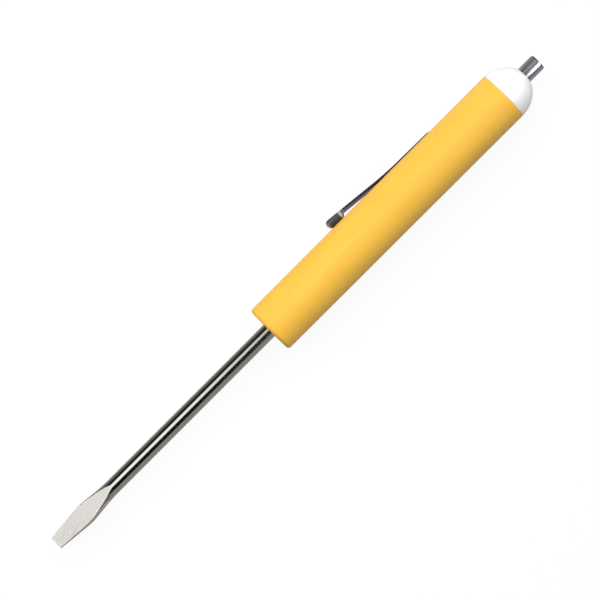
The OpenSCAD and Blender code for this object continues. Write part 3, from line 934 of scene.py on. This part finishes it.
# %% [markdown]
# ## The studio's stripes
# The picture was lit by one softbox close to the lens, over a white sweep. Round steel shows a
# studio as a set of stripes, and the shaft's stripes tell where everything stood: the box a little
# to the upper left, black on both sides of it, and grey sweep beyond. Lamps and cards round the
# tool would light the matt pieces too. A sky that only shiny rays see can be painted stripe by
# stripe, by the angle about the tool.

# %% Stripes of the studio
BRIGHTEST, STUDIO_TINT = 3.0, (1.0, 0.98, 0.94)


def stripes(tree, angle, stops):
    """Studio brightness by the angle about the tool, from the lens towards the lower right. Each
    stop gives degrees and a brightness, with a straight run from one to the next."""
    share = between(tree, angle, 0.0, 1.0, -math.pi, math.pi)
    ramp = add_node(tree, "ShaderNodeValToRGB", {"Fac": share})
    dots = ramp.color_ramp.elements
    while len(dots) < len(stops):
        dots.new(0.5)
    for dot, (degrees, _) in zip(dots, stops):
        dot.position = (degrees + 180) / 360
    for dot, (_, level) in zip(dots, stops):
        dot.color = (*[level * tint / BRIGHTEST for tint in STUDIO_TINT], 1)
    return ramp.outputs[0]


SWEEP_LEFT = [(-180, 0.45), (-126, 0.40), (-103, 0.25), (-84, 0.09), (-66, 0.02)]
SWEEP_RIGHT = [(47, 0.005), (54, 0.37), (180, 0.40)]
BROAD_BOX = [(-42, 0.005), (-37, 1.65), (-3, 1.65), (2, 0.005)]
NARROW_BOX = [(-34, 0.005), (-27, 1.15), (-17, 1.15), (-10, 0.005)]
BLADE_SIDE, NECK_SIDE = ([*SWEEP_LEFT, *box, *SWEEP_RIGHT] for box in (BROAD_BOX, NARROW_BOX))
BARREL_SIDE = [
    (-180, 1.0), (-120, 0.9), (-75, 0.22), (40, 0.20), (60, 0.06),
    (85, 0.25), (110, 0.75), (128, 0.75), (140, 0.36), (180, 0.36),
]
CAP_SIDE = [
    (-180, 1.0), (-150, 0.40), (-120, 0.37), (-87, 0.28), (-42, 0.31), (-22, 0.42), (16, 0.42),
    (20, 2.8), (51, 2.8), (56, 0.30), (80, 0.27), (108, 0.42), (180, 0.42),
]
END_ON = [
    (-180, 0.10), (-66, 0.03), (-30, 0.20), (8, 0.35), (15, 2.6), (52, 2.6),
    (62, 0.03), (180, 0.10),
]
print("stops:", [len(side) for side in (BLADE_SIDE, NECK_SIDE, BARREL_SIDE, CAP_SIDE, END_ON)])

# %% [markdown]
# ## The sky
# The stripes change along the tool. The shaft shows a broad bright one, which narrows close to the
# barrel, as if the barrel hid part of the box there. The clip and the cup show others, and faces
# that look endways see the studio's ends. A ray leaves a round piece with the same lean along the
# tool as it came with, so its lean tells which stripes it should meet. Matt pieces meet a white sky
# instead, dark towards the tip and bright towards the cap, and the camera sees pure white.

# %% Sky
NECK_LEAN, BARREL_LEAN = (-0.035, -0.012), (0.006, 0.010)
CAP_LEAN, END_LEAN, MATT_LEAN = (0.064, 0.072), (0.35, 0.50), (-0.3, 0.3)
MATT_AT_CAP, PURE_WHITE = 0.82, (1, 1, 1, 1)

world = bpy.data.worlds.new("studio")
bpy.context.scene.world = world
world.use_nodes = True
tree = world.node_tree
tree.nodes.clear()
look = add_node(tree, "ShaderNodeTexCoord").outputs["Generated"]
along_ways = [
    add_node(tree, "ShaderNodeVectorMath", {0: look, 1: way}, operation="DOT_PRODUCT")
    for way in (towards_camera, -upper_left, up_barrel)
]
ahead, beside, endways = (share.outputs["Value"] for share in along_ways)
angle = reckoned(tree, "ARCTAN2", beside, ahead)
sky = stripes(tree, angle, BLADE_SIDE)
for lean, side in (
    (NECK_LEAN, NECK_SIDE), (BARREL_LEAN, BARREL_SIDE), (CAP_LEAN, CAP_SIDE), (END_LEAN, END_ON)
):
    sky = mixed(tree, between(tree, endways, 0.0, 1.0, *lean), sky, stripes(tree, angle, side))
matt_level = between(tree, endways, 0.0, MATT_AT_CAP, *MATT_LEAN)
shiny, matt, white = (
    add_node(tree, "ShaderNodeBackground", {"Color": colour, "Strength": strength}).outputs[0]
    for colour, strength in ((sky, BRIGHTEST), (PURE_WHITE, matt_level), (PURE_WHITE, 1.0))
)
ray = add_node(tree, "ShaderNodeLightPath").outputs
lit = add_node(tree, "ShaderNodeMixShader", {0: ray["Is Glossy Ray"], 1: matt, 2: shiny}).outputs[0]
seen = add_node(tree, "ShaderNodeMixShader", {0: ray["Is Camera Ray"], 1: lit, 2: white}).outputs[0]
add_node(tree, "ShaderNodeOutputWorld", {"Surface": seen})
print("the sky has", len(tree.nodes), "nodes")

# %% [markdown]
# ## The softbox
# One wide lamp near the lens gives the plastic its soft light, and the tool its soft shadow to the
# lower right. It stands a little to the upper left, where the shaft's bright stripe says the real
# box was. Shiny rays don't see it, because with the stripes as well there would be two boxes on the
# steel.

# %% Softbox for matt surfaces
BOX_LONG, BOX_WIDE, BOX_WATTS, BOX_AWAY, BOX_LEAN = 0.9, 0.38, 3.85, 0.6, math.radians(22)

lamp = bpy.data.objects.new("softbox", bpy.data.lights.new("softbox", "AREA"))
lamp.data.shape, lamp.data.energy = "RECTANGLE", BOX_WATTS
lamp.data.size, lamp.data.size_y = BOX_LONG, BOX_WIDE
to_lamp = math.cos(BOX_LEAN) * towards_camera + math.sin(BOX_LEAN) * upper_left
along_tool = np.array([1.0, 0, 0])
stand_up(lamp, along_tool, np.cross(to_lamp, along_tool), to_lamp, to_lamp * BOX_AWAY)
lamp.visible_glossy = lamp.visible_camera = False
print("softbox at", (to_lamp * BOX_AWAY).round(3))

# %% [markdown]
# ## The white table
# The tool lies on white paper that shows no edge and only a faint shadow. More light would burn the
# paper out to white, but the tool as well. So the camera sees paper that glows by itself almost to
# white, plus a little that is lit, and only that little can darken in the shadow. Every other ray
# meets plain pale paper, which lights the tool from below as a real sweep does.

# %% White table
TABLE_HALF, GLOW, LIT_PAPER, PLAIN_PAPER = 2.0, 0.915, 0.105, 0.80

corners = TABLE_HALF * np.array([[-1, -1, 0], [1, -1, 0], [1, 1, 0], [-1, 1, 0]])
table_mesh = bpy.data.meshes.new("white_table")
table_mesh.from_pydata(corners, [], [(0, 1, 2, 3)])
table = bpy.data.objects.new("white_table", table_mesh)
bpy.context.scene.collection.objects.link(table)
table.visible_glossy = False
white_sweep = bpy.data.materials.new("white_sweep")
white_sweep.use_nodes = True
tree = white_sweep.node_tree
tree.nodes.clear()
glow = add_node(tree, "ShaderNodeEmission", {"Color": PURE_WHITE, "Strength": GLOW}).outputs[0]
lit_paper, plain_paper = (
    add_node(tree, "ShaderNodeBsdfDiffuse", {"Color": (level, level, level, 1)}).outputs[0]
    for level in (LIT_PAPER, PLAIN_PAPER)
)
shown = add_node(tree, "ShaderNodeAddShader", {0: glow, 1: lit_paper}).outputs[0]
ray = add_node(tree, "ShaderNodeLightPath").outputs
paper = add_node(tree, "ShaderNodeMixShader", {0: ray["Is Camera Ray"], 1: plain_paper, 2: shown})
add_node(tree, "ShaderNodeOutputMaterial", {"Surface": paper.outputs[0]})
table_mesh.materials.append(white_sweep)
print("the table is", 2 * TABLE_HALF, "m wide")

# %% [markdown]
# ## Last look
# The picture is shown in plain Standard colours, so that a colour comes out as it was written.

# %% Finish
bpy.context.scene.view_settings.view_transform = "Standard"
